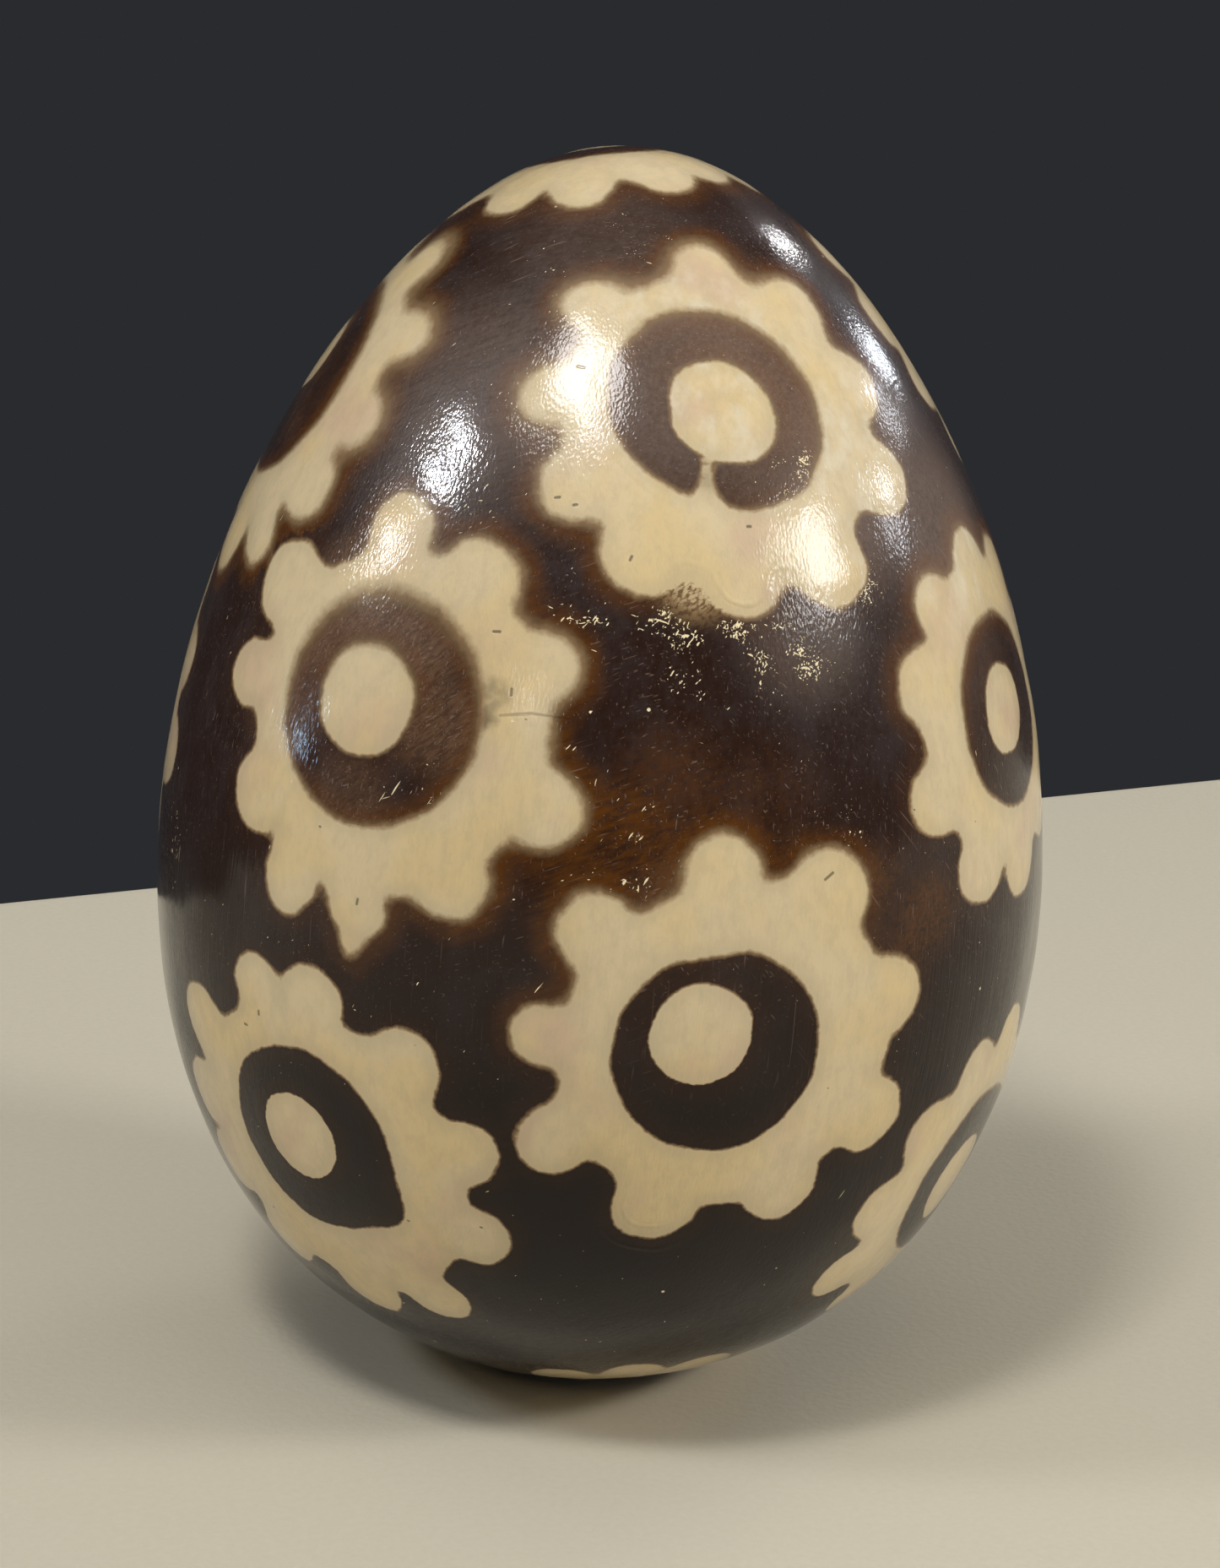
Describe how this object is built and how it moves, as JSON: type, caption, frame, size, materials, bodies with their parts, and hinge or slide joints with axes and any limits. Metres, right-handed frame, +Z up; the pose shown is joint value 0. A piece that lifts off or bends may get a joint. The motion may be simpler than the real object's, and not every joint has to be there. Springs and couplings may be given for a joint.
{
  "type": "decorated egg",
  "caption": "Blown goose egg dyed dark brown by wax resist, with cream lobed flowers, each holding a dark ring round a cream dot, under gloss varnish; it stands on its blunt end.",
  "frame": {"origin": "centre of the small flat foot on the blunt end, on the surface that it stands on", "axes": "+Z up the egg's axis to the pointed end, -Y towards the side that faces the viewer, +X to the right"},
  "size_m": [0.0632, 0.0632, 0.088],
  "materials": {
    "eggshell": "cream eggshell under thick gloss varnish",
    "membrane": "matt dry membrane",
    "plaster": "matt cast plaster",
    "beeswax": "satin wax",
    "dye": "near-black brown dye under thick gloss varnish"
  },
  "bodies": {
    "root": {"shell": "eggshell", "shell_membrane": "membrane", "ballast": "plaster", "lower_plug": "beeswax", "upper_plug": "beeswax", "dye_ground": "dye", "dye_ring_upper_front": "dye", "dye_ring_upper_left": "dye", "dye_ring_middle_left": "dye", "dye_ring_middle_right": "dye", "dye_ring_lower_front": "dye", "dye_ring_lower_left": "dye", "dye_ring_lower_right": "dye", "dye_ring_top": "dye", "dye_ring_foot": "dye", "dye_ring_upper_right": "dye", "dye_ring_upper_back": "dye", "dye_ring_middle_side": "dye", "dye_ring_middle_back_right": "dye", "dye_ring_middle_back_left": "dye", "dye_ring_lower_back_right": "dye", "dye_ring_lower_back_left": "dye", "dye_ring_lower_side": "dye"}
  },
  "joints": []
}
